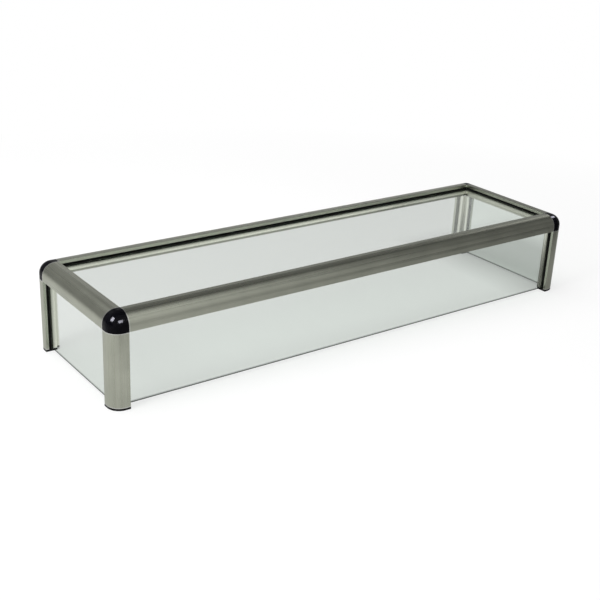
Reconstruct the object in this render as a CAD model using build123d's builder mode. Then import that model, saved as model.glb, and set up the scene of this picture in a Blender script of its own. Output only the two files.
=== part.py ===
from build123d import *
import os

# Countertop display case: a low glass guard over food on a counter.
#
# Four posts and four top rails are cut from one extruded aluminium section with a rounded
# outer corner, a glazing slot in each inner side and a chamber down the middle. Moulded
# three-way connectors plug into the chambers and join the bars at the top corners, and
# moulded feet close the posts at the counter. Panes stand on the feet at the front, the
# left and the right and one lies at the top, each pressed to its slot's inner side by
# rubber gaskets. The rear and the underside are open.
#
# Millimetres. X runs along the length, the front faces -Y, Z is up, and the origin is on
# the counter under the middle of the case.

os.makedirs("parts", exist_ok=True)

# Overall size
case_length = 1000.0
case_depth = 280.0
case_height = 160.0

# Extruded section, measured inward from its outer faces
section_size = 30.0
section_radius = 22.0
section_wall = 1.6
lip_thickness = 6.0
arm_thickness = 7.6
slot_web = 2.6
tip_radius = 0.6

# Glazing
glass_thickness = 4.0
glass_arris = 0.5
glass_edge_gap = 1.0
gasket_thickness = 5.4
gasket_root_thickness = 3.4
gasket_root_gap = 3.0
gasket_grip = 3.0
gasket_proud = 1.0
gasket_round = 0.8

# Moulded connectors and feet
plug_clearance = 0.15
leg_length = 26.0
rib_pitch = 6.0
rib_width = 2.0
rib_height = 0.8
pane_clearance = 0.3
foot_thickness = 4.0
foot_chamfer = 0.6
spigot_length = 18.0

# Places across the section
glass_outer = lip_thickness + gasket_thickness
slot_inner = glass_outer + glass_thickness
slot_width = slot_inner - lip_thickness
arm_inner = slot_inner + arm_thickness
slot_bottom = slot_inner + slot_web
slot_depth = section_size - slot_bottom
notch_size = section_size - arm_inner
gasket_root = slot_bottom + gasket_root_gap

# Places in the case
half_length = case_length / 2
half_depth = case_depth / 2
rail_underside = case_height - section_size
long_rail_length = case_length - 2 * section_size
side_rail_length = case_depth - 2 * section_size
post_length = rail_underside - foot_thickness
upright_gasket_length = post_length - gasket_proud
pane_inset = slot_bottom + glass_edge_gap
pane_length = case_length - 2 * pane_inset
pane_depth = case_depth - 2 * pane_inset
pane_height = case_height - pane_inset - foot_thickness
pane_middle = foot_thickness + pane_height / 2

# Outward directions of the faces of the case
front, rear = Vector(0, -1, 0), Vector(0, 1, 0)
left, right = Vector(-1, 0, 0), Vector(1, 0, 0)
top = Vector(0, 0, 1)

# Faces that meet at each upright edge, so that face_a x face_b points down
corners = {
    "front_left": (front, left),
    "front_right": (right, front),
    "rear_right": (rear, right),
    "rear_left": (left, rear),
}

from_corner = (Align.MIN, Align.MIN)
diagonal = Plane(origin=(0, 0, 0), x_dir=(1, 1, 0), z_dir=(1, -1, 0))


def edge_plane(face_a, face_b, height=case_height):
    """Plane across the outer edge where two faces of the case meet.

    Its X axis runs inward from face_a and its Y axis inward from face_b. It stands at the
    middle of a rail, or at the given height on an upright edge.
    """
    outward = face_a + face_b
    origin = (outward.X * half_length, outward.Y * half_depth, height)
    return Plane(origin=origin, x_dir=-face_a, z_dir=face_a.cross(face_b))


def finish(part, name):
    """Labels a finished piece and writes it under its name."""
    part.label = name
    export_step(part, f"parts/{name}.step")


def chamber_section(gap):
    """Section of the middle chamber, or of what plugs into it with a gap all round."""
    with BuildSketch() as chamber:
        side = slot_bottom - section_wall - gap
        Rectangle(side, side, align=from_corner)
        with Locations((section_radius, section_radius)):
            Circle(section_radius - section_wall - gap, mode=Mode.INTERSECT)
    return chamber.sketch


def add_plug(plane, length):
    """Adds a plug for the middle chamber, with ribs that grip it, to the piece being built."""
    with BuildSketch(plane) as core:
        add(chamber_section(plug_clearance + rib_height))
    extrude(core.sketch, amount=length)
    for rib in range(int(length / rib_pitch)):
        rib_start = (rib + 0.5) * rib_pitch - rib_width / 2
        with BuildSketch(plane.offset(rib_start)) as rib_face:
            add(chamber_section(plug_clearance))
        extrude(rib_face.sketch, amount=rib_width)


# Outline of the section: one corner is rounded and the opposite one is cut away
with BuildSketch() as section_outline:
    Rectangle(section_size, section_size, align=from_corner)
    fillet(section_outline.vertices().sort_by_distance((0, 0, 0))[0], radius=section_radius)
    with Locations((arm_inner, arm_inner)):
        Rectangle(notch_size, notch_size, align=from_corner, mode=Mode.SUBTRACT)

# A glazing slot and the two closed chambers beside it
with BuildSketch() as slot_opening:
    with Locations((lip_thickness, slot_bottom)):
        Rectangle(slot_width, slot_depth, align=from_corner)
    mirror(about=diagonal)

with BuildSketch() as side_chambers:
    chamber_start = slot_bottom + section_wall
    chamber_length = slot_depth - 2 * section_wall
    with Locations((section_wall, chamber_start)):
        Rectangle(lip_thickness - 2 * section_wall, chamber_length, align=from_corner)
    with Locations((slot_inner + section_wall, chamber_start)):
        Rectangle(arm_thickness - 2 * section_wall, chamber_length, align=from_corner)
    mirror(about=diagonal)

with BuildSketch() as bar_section:
    add(section_outline.sketch)
    add(slot_opening.sketch, mode=Mode.SUBTRACT)
    side_tips = bar_section.vertices().group_by(Axis.X)[-1]
    end_tips = bar_section.vertices().group_by(Axis.Y)[-1]
    fillet(side_tips + end_tips, radius=tip_radius)
    add(chamber_section(0), mode=Mode.SUBTRACT)
    add(side_chambers.sketch, mode=Mode.SUBTRACT)

# Posts, from the feet to the connectors
for corner, (face_a, face_b) in corners.items():
    middle = foot_thickness + post_length / 2
    with BuildPart() as post:
        with BuildSketch(edge_plane(face_a, face_b, middle)):
            add(bar_section.sketch)
        extrude(amount=post_length / 2, both=True)
    finish(post.part, f"{corner}_post")

# Top rails, from connector to connector
rails = {
    "front": (front, long_rail_length),
    "rear": (rear, long_rail_length),
    "left": (left, side_rail_length),
    "right": (right, side_rail_length),
}
for side, (face, rail_length) in rails.items():
    with BuildPart() as rail:
        with BuildSketch(edge_plane(face, top)):
            add(bar_section.sketch)
        extrude(amount=rail_length / 2, both=True)
    finish(rail.part, f"{side}_rail")

# Corner connector, modelled with its outer corner at the origin: a rounded cube that carries
# the section round the corner, a pocket for the corner of each pane and a plug into each bar
with BuildPart() as connector_shape:
    Box(section_size, section_size, section_size, align=from_corner + (Align.MIN,))
    outer_edges = connector_shape.edges().sort_by_distance((0, 0, 0))[:3]
    fillet(outer_edges, radius=section_radius)
    for plane in (Plane.XY, Plane.YZ, Plane.ZX):
        pocket_face = plane.offset(glass_outer - pane_clearance)
        with BuildSketch(pocket_face):
            with Locations((slot_bottom, slot_bottom)):
                Rectangle(slot_depth, slot_depth, align=from_corner)
        extrude(amount=glass_thickness + 2 * pane_clearance, mode=Mode.SUBTRACT)
        with BuildSketch(pocket_face):
            with Locations((arm_inner, arm_inner)):
                Rectangle(notch_size, notch_size, align=from_corner)
        extrude(amount=section_size - glass_outer + pane_clearance, mode=Mode.SUBTRACT)
    for plane in (Plane.XY, Plane.YZ, Plane.ZX):
        add_plug(plane.offset(section_size), leg_length)

for corner, (face_a, face_b) in corners.items():
    with BuildPart(edge_plane(face_a, face_b)) as connector:
        add(connector_shape.part)
    finish(connector.part, f"{corner}_connector")

# Feet: a plate of the section's outline and a plug up the post
for corner, (face_a, face_b) in corners.items():
    counter = edge_plane(face_b, face_a, 0)
    with BuildPart() as foot:
        with BuildSketch(counter):
            add(section_outline.sketch)
        extrude(amount=foot_thickness)
        chamfer(foot.edges().group_by(Axis.Z)[0], length=foot_chamfer)
        add_plug(counter.offset(foot_thickness), spigot_length)
    finish(foot.part, f"{corner}_foot")

# Panes, each drawn on its outer face: the face, its plane's X axis and origin, and its size
panes = {
    "front": (front, (1, 0, 0), (0, glass_outer - half_depth, pane_middle), pane_length, pane_height),
    "left": (left, (0, 1, 0), (glass_outer - half_length, 0, pane_middle), pane_depth, pane_height),
    "right": (right, (0, 1, 0), (half_length - glass_outer, 0, pane_middle), pane_depth, pane_height),
    "top": (top, (1, 0, 0), (0, 0, case_height - glass_outer), pane_length, pane_depth),
}
for side, (face, x_dir, origin, width, height) in panes.items():
    with BuildPart() as pane:
        with BuildSketch(Plane(origin=origin, x_dir=x_dir, z_dir=-face)):
            Rectangle(width, height)
        extrude(amount=glass_thickness)
        chamfer(pane.edges(), length=glass_arris)
    finish(pane.part, f"{side}_glass")

# Gasket section, across the slot from the lip to the glass, with a head proud of the slot
with BuildSketch() as gasket_section:
    head_end = section_size + gasket_proud
    with BuildLine():
        Polyline(
            (glass_outer, gasket_root),
            (glass_outer, head_end),
            (lip_thickness, head_end),
            (lip_thickness, section_size - gasket_grip),
            (glass_outer - gasket_root_thickness, gasket_root),
            close=True,
        )
    make_face()
    fillet(gasket_section.vertices().group_by(Axis.Y)[-1], radius=gasket_round)

# Gaskets that lie along a rail: the pane's face, the rail's face and the strip's length
rail_gaskets = {
    "front_glass_top_gasket": (front, top, long_rail_length),
    "left_glass_top_gasket": (left, top, side_rail_length),
    "right_glass_top_gasket": (right, top, side_rail_length),
    "top_glass_front_gasket": (top, front, long_rail_length),
    "top_glass_rear_gasket": (top, rear, long_rail_length),
    "top_glass_left_gasket": (top, left, side_rail_length - 2 * gasket_proud),
    "top_glass_right_gasket": (top, right, side_rail_length - 2 * gasket_proud),
}
for name, (pane_face, rail_face, strip_length) in rail_gaskets.items():
    with BuildPart() as gasket:
        with BuildSketch(edge_plane(pane_face, rail_face)):
            add(gasket_section.sketch)
        extrude(amount=strip_length / 2, both=True)
    finish(gasket.part, name)

# Gaskets that stand on the feet, up a post: the pane's face and the face beyond the post
post_gaskets = {
    "front_glass_left_gasket": (front, left),
    "front_glass_right_gasket": (front, right),
    "left_glass_front_gasket": (left, front),
    "left_glass_rear_gasket": (left, rear),
    "right_glass_front_gasket": (right, front),
    "right_glass_rear_gasket": (right, rear),
}
for name, (pane_face, post_face) in post_gaskets.items():
    middle = foot_thickness + upright_gasket_length / 2
    with BuildPart() as gasket:
        with BuildSketch(edge_plane(pane_face, post_face, middle)):
            add(gasket_section.sketch)
        extrude(amount=upright_gasket_length / 2, both=True)
    finish(gasket.part, name)
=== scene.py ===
import math

import bpy
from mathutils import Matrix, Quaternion, Vector


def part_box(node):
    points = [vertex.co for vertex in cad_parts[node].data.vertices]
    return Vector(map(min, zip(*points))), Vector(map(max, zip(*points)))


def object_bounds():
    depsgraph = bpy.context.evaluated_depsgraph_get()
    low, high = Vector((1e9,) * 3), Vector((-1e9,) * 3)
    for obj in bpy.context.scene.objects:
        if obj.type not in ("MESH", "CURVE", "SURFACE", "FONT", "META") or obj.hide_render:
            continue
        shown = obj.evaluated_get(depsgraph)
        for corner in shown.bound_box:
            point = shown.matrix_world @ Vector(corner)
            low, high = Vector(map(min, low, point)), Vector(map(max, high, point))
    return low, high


# Countertop display case in a plain white studio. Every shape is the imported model's own. This
# script gives the pieces their finishes and sets the floor, the light and the camera. Metres.

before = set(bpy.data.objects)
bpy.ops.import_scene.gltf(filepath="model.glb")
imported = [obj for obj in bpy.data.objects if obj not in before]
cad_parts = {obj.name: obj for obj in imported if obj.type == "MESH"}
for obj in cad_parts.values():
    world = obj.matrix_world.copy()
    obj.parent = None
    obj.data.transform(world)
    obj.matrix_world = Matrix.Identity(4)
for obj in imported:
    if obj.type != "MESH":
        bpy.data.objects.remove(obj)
cad_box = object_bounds()

# Camera: where it stands, the point it looks at, how far it is rolled, and its lens
camera_place = Vector((-1.1172, -1.4120, 0.7905))
camera_aim = Vector((-0.0421, 0.0086, 0.0363))
camera_roll = math.radians(2.78)
camera_lens = 62.44
sensor_width = 36.0

# Colours, linear
aluminium_pale = (0.530, 0.547, 0.458)
aluminium_deep = (0.400, 0.415, 0.346)
# Painted shade for the inner arms beside the glass and in the recess
aluminium_painted_shade = (0.120, 0.122, 0.106)
# Painted highlight for the tips of the inner arms
aluminium_painted_highlight = (0.820, 0.825, 0.730)
cut_metal = (0.640, 0.645, 0.610)
gloss_black = (0.0018, 0.0018, 0.0028)
gloss_pale = tuple(1.6 * part for part in gloss_black)
foot_black = (0.0022, 0.0022, 0.0022)
foot_pale = tuple(2 * part for part in foot_black)
rubber_black = (0.0025, 0.0025, 0.0022)
rubber_dusty = (0.0060, 0.0060, 0.0052)
rubber_pale_edge = (0.060, 0.061, 0.052)
glass_face = (0.99, 1.0, 0.993)
glass_to_lamps = (0.86, 0.90, 0.87)
glass_body = (0.62, 0.92, 0.66)
edge_deep = (0.008, 0.014, 0.011)
edge_pale = (0.028, 0.042, 0.034)
# Painted shade along the foot of the upright panes
low_edge_painted_shade = (0.020, 0.024, 0.020)
floor_white = (0.9, 0.9, 0.9)
world_white = (1.0, 1.0, 1.0)
world_grey = (0.30, 0.30, 0.30)
window_blue = (0.88, 0.88, 1.0)

# Depths inside the outer faces of the case: the two faces of an upright pane, and the stretches
# over which the rubber turns paler and the inner arms of a bar take painted highlight and shade
pane_outer, pane_inner = (corner[1] - cad_box[0][1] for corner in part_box("front_glass"))
arm_thickness = 0.0076
arm_inner = pane_inner + arm_thickness
rubber_beside_glass = (pane_outer - 0.0026, pane_outer)
arm_begins = (pane_inner - 0.0004, pane_inner - 0.0001)
arm_brightens = (pane_inner - 0.0004, pane_inner + 0.0026)
arm_beside_glass = (pane_inner, pane_inner + 0.0042)
recess_begins = (arm_inner - 0.0005, arm_inner - 0.0001)

# Distances from an end of a bar over which its saw cut shows
cut_fades = 0.0018
cut_full = 0.0010

# Painted shade along the foot of the upright panes, and how fast the glass colours the light inside it
painted_shade_share = 0.55
painted_shade_height = 0.0035
glass_density = 20.0


def new_material(name):
    """An empty node material, its tree and its Principled shader."""
    material = bpy.data.materials.new(name)
    material.use_nodes = True
    tree = material.node_tree
    return material, tree, tree.nodes["Principled BSDF"]


def add_node(tree, kind, **settings):
    """A new node with its settings."""
    node = tree.nodes.new(kind)
    for key, value in settings.items():
        setattr(node, key, value)
    return node


def place_noise(tree, scale, detail=3.0, stretch=(1, 1, 1)):
    """Noise fixed to the case, a factor around 0.5, scaled per metre."""
    place = add_node(tree, "ShaderNodeTexCoord")
    mapping = add_node(tree, "ShaderNodeMapping")
    noise = add_node(tree, "ShaderNodeTexNoise")
    mapping.inputs["Scale"].default_value = stretch
    noise.inputs["Scale"].default_value = scale
    noise.inputs["Detail"].default_value = detail
    tree.links.new(place.outputs["Object"], mapping.inputs["Vector"])
    tree.links.new(mapping.outputs["Vector"], noise.inputs["Vector"])
    return noise.outputs["Fac"]


def place_along(tree, axis):
    """The place of a point along an axis of the case: x, y or z."""
    place = add_node(tree, "ShaderNodeTexCoord")
    split = add_node(tree, "ShaderNodeSeparateXYZ")
    tree.links.new(place.outputs["Object"], split.inputs["Vector"])
    return split.outputs[axis.upper()]


def spread(tree, factor, low, high, start=0.3, end=0.7):
    """Stretches a factor from start..end, where most of a noise lies, to low..high."""
    node = add_node(tree, "ShaderNodeMapRange")
    for key, value in (("From Min", start), ("From Max", end), ("To Min", low), ("To Max", high)):
        node.inputs[key].default_value = value
    tree.links.new(factor, node.inputs["Value"])
    return node.outputs["Result"]


def maths(tree, operation, first, second=0.0):
    """One Math node on sockets or numbers."""
    node = add_node(tree, "ShaderNodeMath", operation=operation)
    for socket, value in zip(node.inputs, (first, second)):
        if isinstance(value, (int, float)):
            socket.default_value = value
        else:
            tree.links.new(value, socket)
    return node.outputs[0]


def blend_factors(tree, first, second, share):
    """A share of the first factor and the rest of the second."""
    of_first = maths(tree, "MULTIPLY", first, share)
    of_second = maths(tree, "MULTIPLY", second, 1 - share)
    return maths(tree, "ADD", of_first, of_second)


def mix_colours(tree, factor, first, second):
    """Mixes two colours, each a tuple or a socket, by a factor socket.

    The node's inputs 6 and 7 and its output 2 are the ones that carry colours.
    """
    node = add_node(tree, "ShaderNodeMix", data_type="RGBA")
    tree.links.new(factor, node.inputs["Factor"])
    for socket, colour in ((node.inputs[6], first), (node.inputs[7], second)):
        if isinstance(colour, tuple):
            socket.default_value = (*colour, 1)
        else:
            tree.links.new(colour, socket)
    return node.outputs[2]


def mix_shaders(tree, factor, first, second):
    """Mixes the shaders of two nodes by a factor socket."""
    node = add_node(tree, "ShaderNodeMixShader")
    tree.links.new(factor, node.inputs["Fac"])
    tree.links.new(first.outputs[0], node.inputs[1])
    tree.links.new(second.outputs[0], node.inputs[2])
    return node


def show(tree, node):
    """Makes a node the surface of its material."""
    tree.links.new(node.outputs[0], tree.nodes["Material Output"].inputs["Surface"])


def bump(tree, shader, height, strength, distance):
    """Raises the surface of a shader by a height socket."""
    node = add_node(tree, "ShaderNodeBump")
    node.inputs["Strength"].default_value = strength
    node.inputs["Distance"].default_value = distance
    tree.links.new(height, node.inputs["Height"])
    tree.links.new(node.outputs["Normal"], shader.inputs["Normal"])


def coat(tree, shader, colour, roughness, specular):
    """Gives a shader its colour and roughness sockets and its specular level."""
    tree.links.new(colour, shader.inputs["Base Color"])
    tree.links.new(roughness, shader.inputs["Roughness"])
    shader.inputs["Specular IOR Level"].default_value = specular


def stretched(axis, along, across):
    """One value for an axis and another for the two axes across it."""
    return tuple(along if other == axis else across for other in "xyz")


def inward(tree, across):
    """How far a point lies inside the nearest outer face of the case, across some axes.

    The case is alike on both sides in X and Y. In Z only its top counts.
    """
    nearest = None
    for axis in across:
        place = place_along(tree, axis)
        if axis != "z":
            place = maths(tree, "ABSOLUTE", place)
        depth = maths(tree, "SUBTRACT", cad_box[1]["xyz".index(axis)], place)
        nearest = depth if nearest is None else maths(tree, "MINIMUM", nearest, depth)
    return nearest


def aluminium(axis, low, high, slot_share, recess_share):
    """Satin anodised extrusion that runs along an axis from low to high.

    Die lines run along the bar. The inner arms carry a painted highlight at their tips and
    painted shade, by slot_share beside the glass and by recess_share in the recess between them,
    and a thin bright line marks the saw cut at each end.
    """
    material, tree, shader = new_material(f"aluminium_{axis}")
    fine = place_noise(tree, scale=1.0, detail=4.0, stretch=stretched(axis, along=6, across=1400))
    broad = place_noise(tree, scale=1.0, detail=2.0, stretch=stretched(axis, along=1.5, across=160))
    cloud = place_noise(tree, scale=22.0)
    streak = blend_factors(tree, fine, broad, share=0.45)
    tone = blend_factors(tree, streak, cloud, share=0.6)
    body = mix_colours(tree, spread(tree, tone, 0, 1, 0.32, 0.68), aluminium_deep, aluminium_pale)

    depth = inward(tree, "xyz".replace(axis, ""))
    arm = spread(tree, depth, 0, 1, *arm_begins)
    shade = spread(tree, depth, slot_share, 0, *arm_beside_glass)
    # Where the painted shade falls: beside the glass and in the recess between the arms
    beside_glass = maths(tree, "MULTIPLY", arm, shade)
    recess = spread(tree, depth, 0, recess_share, *recess_begins)
    # Painted highlight on the tips of the inner arms
    body = mix_colours(tree, spread(tree, depth, 0, 1, *arm_brightens), body, aluminium_painted_highlight)
    # Painted shade on the inner arms beside the glass and in the recess
    body = mix_colours(tree, maths(tree, "MAXIMUM", beside_glass, recess), body, aluminium_painted_shade)

    middle = (low + high) / 2
    reach = (high - low) / 2
    off_middle = maths(tree, "ABSOLUTE", maths(tree, "SUBTRACT", place_along(tree, axis), middle))
    cut = spread(tree, off_middle, 0, 1, reach - cut_fades, reach - cut_full)
    tree.links.new(mix_colours(tree, cut, body, cut_metal), shader.inputs["Base Color"])
    tree.links.new(spread(tree, streak, 0.24, 0.34), shader.inputs["Roughness"])
    shader.inputs["Metallic"].default_value = 1.0
    shader.inputs["Anisotropic"].default_value = 0.55
    shader.inputs["Anisotropic Rotation"].default_value = 0.25
    grain = add_node(tree, "ShaderNodeCombineXYZ")
    for socket, value in zip(grain.inputs, stretched(axis, along=1, across=0)):
        socket.default_value = value
    tree.links.new(grain.outputs[0], shader.inputs["Tangent"])
    bump(tree, shader, fine, strength=0.25, distance=0.00003)
    return material


def gloss_plastic():
    """Glossy black moulding with a faint orange peel."""
    material, tree, shader = new_material("connector_plastic")
    cloud = place_noise(tree, scale=60.0)
    colour = mix_colours(tree, spread(tree, cloud, 0, 1), gloss_black, gloss_pale)
    coat(tree, shader, colour, roughness=spread(tree, cloud, 0.08, 0.12), specular=0.06)
    peel = place_noise(tree, scale=420.0, detail=2.0)
    bump(tree, shader, peel, strength=0.12, distance=0.0002)
    return material


def textured_plastic():
    """Black moulding with a fine spark-eroded texture."""
    material, tree, shader = new_material("foot_plastic")
    grain = place_noise(tree, scale=1500.0)
    colour = mix_colours(tree, spread(tree, grain, 0, 1), foot_black, foot_pale)
    coat(tree, shader, colour, roughness=spread(tree, grain, 0.42, 0.6), specular=0.15)
    bump(tree, shader, grain, strength=0.35, distance=0.0002)
    return material


def rubber():
    """Matte black glazing rubber, a little dusty, and paler beside the glass."""
    material, tree, shader = new_material("rubber")
    dust = place_noise(tree, scale=90.0, detail=5.0)
    colour = mix_colours(tree, spread(tree, dust, 0, 1, 0.45, 0.75), rubber_black, rubber_dusty)
    beside_glass = spread(tree, inward(tree, "xyz"), 0, 1, *rubber_beside_glass)
    # Paler beside the glass
    colour = mix_colours(tree, beside_glass, colour, rubber_pale_edge)
    coat(tree, shader, colour, roughness=spread(tree, dust, 0.6, 0.8), specular=0.12)
    skin = place_noise(tree, scale=900.0, detail=2.0)
    bump(tree, shader, skin, strength=0.3, distance=0.0001)
    return material


def glass():
    """Clear float glass that lets the lamps through and turns green in its depth.

    Painted shade darkens the upright panes along the edge that stands on the feet.
    """
    material, tree, shader = new_material("glass")
    shader.inputs["Base Color"].default_value = (*glass_face, 1)
    shader.inputs["Transmission Weight"].default_value = 1.0
    shader.inputs["IOR"].default_value = 1.5
    haze = place_noise(tree, scale=9.0, detail=6.0)
    tree.links.new(spread(tree, haze, 0.0, 0.03, 0.4, 0.8), shader.inputs["Roughness"])
    clear = add_node(tree, "ShaderNodeBsdfTransparent")
    clear.inputs["Color"].default_value = (*glass_to_lamps, 1)
    path = add_node(tree, "ShaderNodeLightPath")
    lamps = maths(tree, "MAXIMUM", path.outputs["Is Shadow Ray"], path.outputs["Is Diffuse Ray"])
    clean = mix_shaders(tree, lamps, shader, clear)

    pane_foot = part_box("front_glass")[0][2]
    # Painted shade: a dark diffuse band along the foot of each upright pane
    edge_shade = add_node(tree, "ShaderNodeBsdfDiffuse")
    edge_shade.inputs["Color"].default_value = (*low_edge_painted_shade, 1)
    height = place_along(tree, "z")
    share = spread(tree, height, painted_shade_share, 0, pane_foot, pane_foot + painted_shade_height)
    show(tree, mix_shaders(tree, share, clean, edge_shade))

    body = add_node(tree, "ShaderNodeVolumeAbsorption")
    body.inputs["Color"].default_value = (*glass_body, 1)
    body.inputs["Density"].default_value = glass_density
    tree.links.new(body.outputs[0], tree.nodes["Material Output"].inputs["Volume"])
    return material


def glass_edge():
    """The ground edge of a pane: dark grey-green with a dull shine."""
    material, tree, shader = new_material("glass_edge")
    grind = place_noise(tree, scale=700.0)
    colour = mix_colours(tree, spread(tree, grind, 0, 1), edge_deep, edge_pale)
    coat(tree, shader, colour, roughness=spread(tree, grind, 0.25, 0.45), specular=0.4)
    bump(tree, shader, grind, strength=0.3, distance=0.0001)
    return material


def dress_edges(node, material):
    """Gives the narrow faces and arrises around a pane the material of a ground edge.

    A broad face looks straight along the pane's thin side, and an arris looks halfway off it.
    """
    straight = 0.9
    low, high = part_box(node.name)
    sizes = [b - a for a, b in zip(low, high)]
    thin = sizes.index(min(sizes))
    node.data.materials.append(material)
    for face in node.data.polygons:
        if abs(face.normal[thin]) < straight:
            face.material_index = 1


def dress():
    """Gives every node its finish."""
    finishes = {
        "gasket": rubber(),
        "glass": glass(),
        "connector": gloss_plastic(),
        "foot": textured_plastic(),
    }
    ground = glass_edge()

    # The bars along each axis: one of them, and how much painted shade they get beside the glass and
    # in the recess
    bars = {
        "x": ("front_rail", 0.85, 0.80),
        "y": ("left_rail", 0.35, 0.25),
        "z": ("front_left_post", 0.50, 0.32),
    }
    metal = {}
    for axis, (name, slot_share, recess_share) in bars.items():
        low, high = (corner["xyz".index(axis)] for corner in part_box(name))
        metal[axis] = aluminium(axis, low, high, slot_share, recess_share)
    finishes["post"] = metal["z"]

    for name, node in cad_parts.items():
        side, kind = name.split("_")[0], name.split("_")[-1]
        if kind == "rail":
            material = metal["y" if side in ("left", "right") else "x"]
        else:
            material = finishes[kind]
        node.data.materials.clear()
        node.data.materials.append(material)
        if kind == "glass":
            dress_edges(node, ground)


def white_world():
    """White where it is seen, a soft grey light elsewhere."""
    world = bpy.data.worlds.new("studio")
    bpy.context.scene.world = world
    world.use_nodes = True
    tree = world.node_tree
    path = add_node(tree, "ShaderNodeLightPath")
    seen = maths(tree, "MAXIMUM", path.outputs["Is Camera Ray"], path.outputs["Is Glossy Ray"])
    colour = mix_colours(tree, seen, world_grey, world_white)
    tree.links.new(colour, tree.nodes["Background"].inputs["Color"])


def quad(name, corners, material):
    """A flat stage piece."""
    mesh = bpy.data.meshes.new(name)
    mesh.from_pydata(corners, [], [(0, 1, 2, 3)])
    mesh.materials.append(material)
    piece = bpy.data.objects.new(name, mesh)
    bpy.context.scene.collection.objects.link(piece)
    return piece


def level_corners(across, away, height):
    """Corners of a level rectangle between two places in X and two in Y."""
    (left, right), (near, far) = across, away
    return [(left, near, height), (right, near, height), (right, far, height), (left, far, height)]


def floor_in_metal(tree, across, away):
    """How bright metal sees the floor: a painted falloff of light, darker in front of the case,
    towards its right end.
    """
    pale, dark = 0.62, 0.14
    left_end, right_end = -0.5, 0.8
    front_edge, behind_it = -0.15, -0.05
    in_front = spread(tree, away, 1, 0, front_edge, behind_it)
    to_the_right = spread(tree, across, 0, 1, left_end, right_end)
    dark_end = maths(tree, "MULTIPLY", to_the_right, in_front)
    return spread(tree, dark_end, pale, dark, 0, 1)


def floor_in_glass(tree, across, away):
    """How bright the floor is through glass: a painted shadow, darker in a band just past the right
    end.
    """
    dark, pale = 0.34, 0.67
    band_middle, band_back = 0.59, 0.06
    dark_reach, pale_reach = 0.06, 0.20
    off_middle = maths(tree, "ABSOLUTE", maths(tree, "SUBTRACT", across, band_middle))
    off_band = maths(tree, "MAXIMUM", off_middle, maths(tree, "SUBTRACT", away, band_back))
    return spread(tree, off_band, dark, pale, dark_reach, pale_reach)


def white_floor():
    """Pale floor with a soft shadow, white to the camera and greyer in metal and through glass.

    A share of it is its own light and the rest is lit, which keeps the shadow. To the camera
    it is all its own light far from the case. Rays through glass count as glossy ones.
    """
    near_share, glossy_share = 0.72, 0.8
    near, far = 0.75, 1.5
    material, tree, shader = new_material("floor")
    shader.inputs["Base Color"].default_value = (*floor_white, 1)
    shader.inputs["Roughness"].default_value = 0.9
    shader.inputs["Specular IOR Level"].default_value = 0.0
    path = add_node(tree, "ShaderNodeLightPath")
    camera_ray = path.outputs["Is Camera Ray"]
    across = place_along(tree, "x")
    away = place_along(tree, "y")
    dimmed = add_node(tree, "ShaderNodeMix")
    tree.links.new(path.outputs["Is Transmission Ray"], dimmed.inputs["Factor"])
    tree.links.new(floor_in_metal(tree, across, away), dimmed.inputs["A"])
    tree.links.new(floor_in_glass(tree, across, away), dimmed.inputs["B"])
    white = add_node(tree, "ShaderNodeEmission")
    tree.links.new(maths(tree, "MAXIMUM", camera_ray, dimmed.outputs[0]), white.inputs["Strength"])

    place = add_node(tree, "ShaderNodeTexCoord")
    reach = add_node(tree, "ShaderNodeVectorMath", operation="LENGTH")
    tree.links.new(place.outputs["Object"], reach.inputs[0])
    camera_share = spread(tree, reach.outputs["Value"], near_share, 1.0, near, far)
    to_camera = maths(tree, "MULTIPLY", camera_ray, camera_share)
    to_glossy = maths(tree, "MULTIPLY", path.outputs["Is Glossy Ray"], glossy_share)
    show(tree, mix_shaders(tree, maths(tree, "ADD", to_camera, to_glossy), shader, white))
    edge = (-20.0, 20.0)
    quad("floor", level_corners(edge, edge, 0), material)


def grey_card(name, corners, greys, ends):
    """A card that only reflections see, such as a dark ceiling.

    Its grey goes from the first of greys to the second between the two ends in X. A high card
    shows through glass too, because a reflection off the far face of a pane passes through it.
    """
    high = 0.8
    material, tree, shader = new_material(name)
    glow = add_node(tree, "ShaderNodeEmission")
    grey = spread(tree, place_along(tree, "x"), *greys, *ends)
    tree.links.new(grey, glow.inputs["Strength"])
    show(tree, glow)
    card = quad(name, corners, material)
    card.visible_camera = False
    card.visible_diffuse = False
    card.visible_transmission = corners[0][2] > high
    card.visible_shadow = False


def level_card(name, across, away, height, greys, ends=(-1.0, 1.0)):
    """A level grey card."""
    grey_card(name, level_corners(across, away, height), greys, ends)


def wall_card(name, start, end, heights, greys, ends=(-1.0, 1.0)):
    """An upright grey card from start to end on the floor, between two heights."""
    (x0, y0), (x1, y1) = start, end
    bottom, top = heights
    corners = [(x0, y0, bottom), (x1, y1, bottom), (x1, y1, top), (x0, y0, top)]
    grey_card(name, corners, greys, ends)


def ceiling_cards(side, front, back, ceiling):
    """The ceiling in five strips, with a skylight and a lit panel just under it."""
    whole = (-side, side)
    under = ceiling - 0.01
    front_seam, near_seam, rear_seam, far_seam = -1.4, -0.4, 1.0, 3.9
    level_card("far_ceiling", whole, (far_seam, back), ceiling, (0.22, 0.20), (-0.6, 0.6))
    level_card("rear_ceiling", whole, (rear_seam, far_seam), ceiling, (0.42, 0.18), (-0.8, 0.6))
    level_card("ceiling", whole, (near_seam, rear_seam), ceiling, (0.14, 0.10), (0.9, 2.1))
    level_card("skylight", (3.1, 4.2), (1.0, 2.2), under, (1.0, 1.0))
    level_card("ceiling_panel", (-2.2, 0.1), (3.0, 3.75), under, (0.62, 0.27), (-0.6, 0.1))
    level_card("near_ceiling", whole, (front_seam, near_seam), ceiling, (0.60, 0.15), (0.9, 2.4))
    level_card("front_ceiling", whole, (front, front_seam), ceiling, (1.00, 0.22), (0.9, 2.3))


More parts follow.
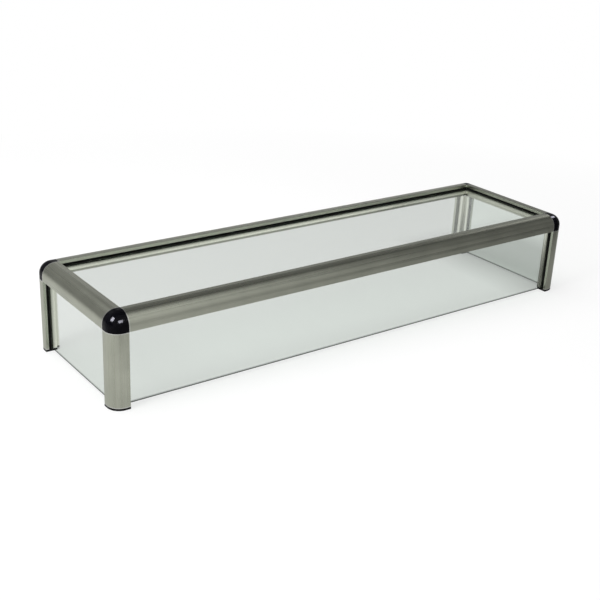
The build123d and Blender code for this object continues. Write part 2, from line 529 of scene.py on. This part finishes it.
def counter_cards(side, front):
    """The counter in front of the case, under it and behind it."""
    low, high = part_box("front_glass")
    inside = (low[0], high[0])
    pane, rear = low[1], -low[1]
    front_stop, rear_stop = -0.36, 0.5
    counter = 0.001
    level_card("front_counter", (-side, side), (front, front_stop), counter, (0.55, 0.10), (-0.3, 0.8))
    level_card("inner_counter", inside, (pane, rear), counter, (0.95, 0.14), (0.08, 0.34))
    level_card("rear_counter", inside, (rear, rear_stop), counter, (0.90, 0.75), (0.18, 0.36))


def wall_cards(side, front, back, ceiling):
    """The front and back walls of the room, with a bright strip along the front one."""
    front_line = ((-side, front), (side, front))
    back_line = ((-side, back), (side, back))
    strip_low, strip_high = 1.0, 1.7
    back_seam = 0.9
    wall_card("front_wall", *front_line, (0, strip_low), (0.58, 0.15), (0.5, 2.9))
    wall_card("front_strip", *front_line, (strip_low, strip_high), (0.95, 0.14), (0.6, 2.4))
    wall_card("front_wall_top", *front_line, (strip_high, ceiling), (0.64, 0.12), (0.6, 2.4))
    wall_card("back_wall", *back_line, (0, back_seam), (0.22, 0.45), (-1.0, 1.5))
    wall_card("back_wall_top", *back_line, (back_seam, ceiling), (0.32, 0.54), (-1.0, 1.5))


def inner_cards():
    """Cards just inside the front and right panes, which the inner sides of the bars mirror."""
    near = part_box("front_glass")[1][1] + 0.0005
    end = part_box("right_glass")[0][0] - 0.001
    heights = (0.002, 0.12)
    wall_card("inner_front", (-end, near), (end, near), heights, (0.92, 1.50), (-0.2, 0.40))
    wall_card("inner_right", (end, near), (end, -near), heights, (0.8, 0.8))


def room():
    """The room that the metal mirrors, from the counter up."""
    side = 5.0
    front = -2.2
    back = 4.6
    ceiling = 2.6
    ceiling_cards(side, front, back, ceiling)
    counter_cards(side, front)
    wall_cards(side, front, back, ceiling)
    inner_cards()
    wall_card("left_wall", (-side, front), (-side, back), (0, ceiling), (0.10, 0.10))
    wall_card("right_wall", (side, front), (side, back), (0, ceiling), (0.35, 0.35))


def lamp(name, place, aim, size, power):
    """A rectangular lamp at a place, turned to a point, that the camera doesn't see."""
    data = bpy.data.lights.new(name, "AREA")
    data.shape = "RECTANGLE"
    data.size, data.size_y = size
    data.energy = power
    light = bpy.data.objects.new(name, data)
    light.location = place
    light.rotation_mode = "QUATERNION"
    light.rotation_quaternion = (Vector(aim) - Vector(place)).to_track_quat("-Z", "Y")
    light.visible_camera = False
    light.visible_transmission = False
    bpy.context.scene.collection.objects.link(light)
    return light


def softbox(name, place, aim, size, power):
    """A lamp that lights the floor and the case and isn't mirrored."""
    lamp(name, place, aim, size, power).visible_glossy = False


def window(name, corner, place, size, power):
    """A lamp turned to the connector at one front corner, the one piece that mirrors it."""
    aims = {"front_left": (-0.48, -0.12, 0.15), "front_right": (0.48, -0.12, 0.15)}
    light = lamp(name, place, aims[corner], size, power)
    light.data.color = window_blue
    light.visible_diffuse = False
    receiver = bpy.data.collections.new(name)
    receiver.objects.link(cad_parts[f"{corner}_connector"])
    light.light_linking.receiver_collection = receiver


def lights():
    """Two softboxes for the floor, and windows that only the front connectors mirror."""
    softbox("left_softbox", (-1.75, -0.2, 1.45), (-0.2, 0, 0.1), (0.7, 0.9), power=20)
    softbox("overhead", (-0.5, 0.4, 2.5), (0, 0, 0), (2.6, 2.6), power=66)
    window("left_window", "front_left", (-1.75, -0.2, 1.45), (0.75, 0.95), power=250)
    window("front_window", "front_left", (-0.48, -1.8, 1.3), (1.25, 0.65), power=190)
    window("side_window", "front_left", (0.26, -1.8, 1.62), (0.26, 0.5), power=16)
    window("high_window", "front_right", (3.2, -0.05, 2.5), (0.8, 0.4), power=45)


def camera():
    """The camera at the photograph's viewing angle."""
    data = bpy.data.cameras.new("camera")
    data.lens = camera_lens
    data.sensor_width = sensor_width
    view = bpy.data.objects.new("camera", data)
    view.location = camera_place
    view.rotation_mode = "QUATERNION"
    level = (camera_aim - camera_place).to_track_quat("-Z", "Y")
    view.rotation_quaternion = level @ Quaternion((0, 0, 1), camera_roll)
    bpy.context.scene.collection.objects.link(view)
    bpy.context.scene.camera = view


dress()
white_world()
white_floor()
room()
lights()
camera()
bpy.context.scene.view_settings.view_transform = "Standard"
